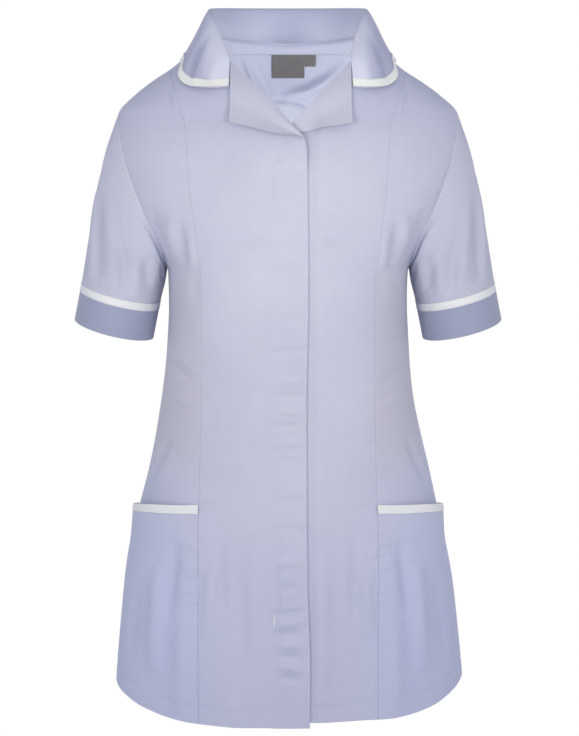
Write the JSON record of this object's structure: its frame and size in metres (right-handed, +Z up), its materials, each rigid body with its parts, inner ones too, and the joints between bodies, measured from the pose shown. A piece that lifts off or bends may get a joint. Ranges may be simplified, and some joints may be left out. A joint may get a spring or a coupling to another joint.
{
  "type": "work tunic",
  "caption": "Short-sleeved princess-seamed work tunic with turned-down collar, lapels, trimmed cuffs and hip pockets, filled out as worn.",
  "frame": {"origin": "between the shoulders at the height of the nape, where the wearer's neck and shoulders carry it", "axes": "+Z up along the wearer's spine; the front faces -Y; the wearer's left is at +X"},
  "size_m": [0.4972, 0.2366, 0.8203],
  "materials": {
    "tunic_cloth": "pale lilac-blue polyester and cotton weave, matt",
    "cuff_cloth": "mid lilac-blue polyester and cotton weave, matt",
    "white_trim": "white folded binding, matt",
    "label_satin": "mid-grey woven satin label, bare"
  },
  "bodies": {
    "root": {"back": "tunic_cloth", "collar": "tunic_cloth", "front_centre_left": "tunic_cloth", "front_centre_right": "tunic_cloth", "front_side_left": "tunic_cloth", "front_side_right": "tunic_cloth", "lapel_left": "tunic_cloth", "lapel_right": "tunic_cloth", "neck_tape": "tunic_cloth", "pocket_left": "tunic_cloth", "pocket_right": "tunic_cloth", "sleeve_left": "tunic_cloth", "sleeve_right": "tunic_cloth", "cuff_left": "cuff_cloth", "cuff_right": "cuff_cloth", "collar_trim": "white_trim", "cuff_trim_left": "white_trim", "cuff_trim_right": "white_trim", "pocket_trim_left": "white_trim", "pocket_trim_right": "white_trim", "label": "label_satin", "size_tab": "label_satin"}
  },
  "joints": []
}
